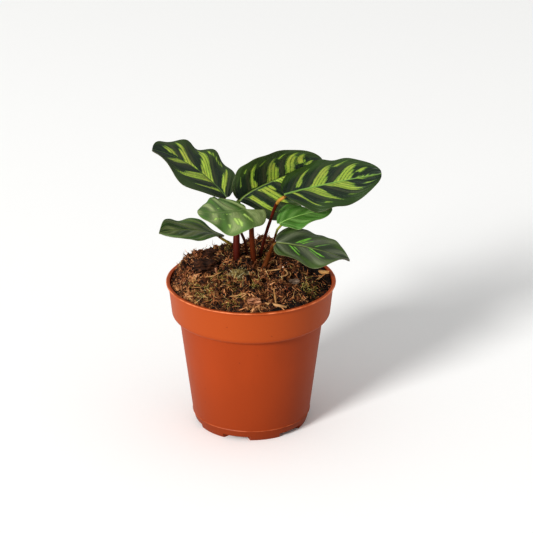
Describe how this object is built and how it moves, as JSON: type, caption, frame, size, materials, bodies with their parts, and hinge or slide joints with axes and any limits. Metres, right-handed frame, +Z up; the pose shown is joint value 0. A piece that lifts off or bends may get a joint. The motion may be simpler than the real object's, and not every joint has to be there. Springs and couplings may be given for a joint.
{
  "type": "potted calathea",
  "caption": "Young calathea with striped and plain leaves on slim red stalks, standing in heaped bark mix in a round tapered plastic pot with a banded rim.",
  "frame": {"origin": "centre of the pot's flat base, on the surface it stands on", "axes": "+Z up, -Y towards the plant's front, +X to the right seen from the front"},
  "size_m": [0.1442, 0.108, 0.1802],
  "materials": {
    "terracotta_plastic": "satin",
    "potting_mix": "matte",
    "leaf_striped": "satin",
    "leaf_pale": "satin",
    "leaf_dark": "satin",
    "leaf_young": "satin",
    "stalk_red": "satin",
    "dark_bark": "matte",
    "pale_bark": "matte",
    "split_wood": "matte",
    "grey_wood": "matte",
    "moss": "matte"
  },
  "bodies": {
    "root": {"pot": "terracotta_plastic", "potting_mix": "potting_mix", "blade_upper_left": "leaf_striped", "stalk_upper_left": "stalk_red", "blade_upper_middle": "leaf_striped", "stalk_upper_middle": "stalk_red", "blade_upper_right": "leaf_striped", "stalk_upper_right": "stalk_red", "blade_middle_left": "leaf_pale", "stalk_middle_left": "stalk_red", "blade_lower_left": "leaf_dark", "stalk_lower_left": "stalk_red", "blade_small_right": "leaf_young", "stalk_small_right": "stalk_red", "blade_lower_right": "leaf_dark", "stalk_lower_right": "stalk_red", "bark_block": "dark_bark", "bark_chunk": "pale_bark", "wood_sliver": "split_wood", "grey_stick": "grey_wood", "pale_twig": "split_wood", "moss_tuft": "moss"}
  },
  "joints": []
}
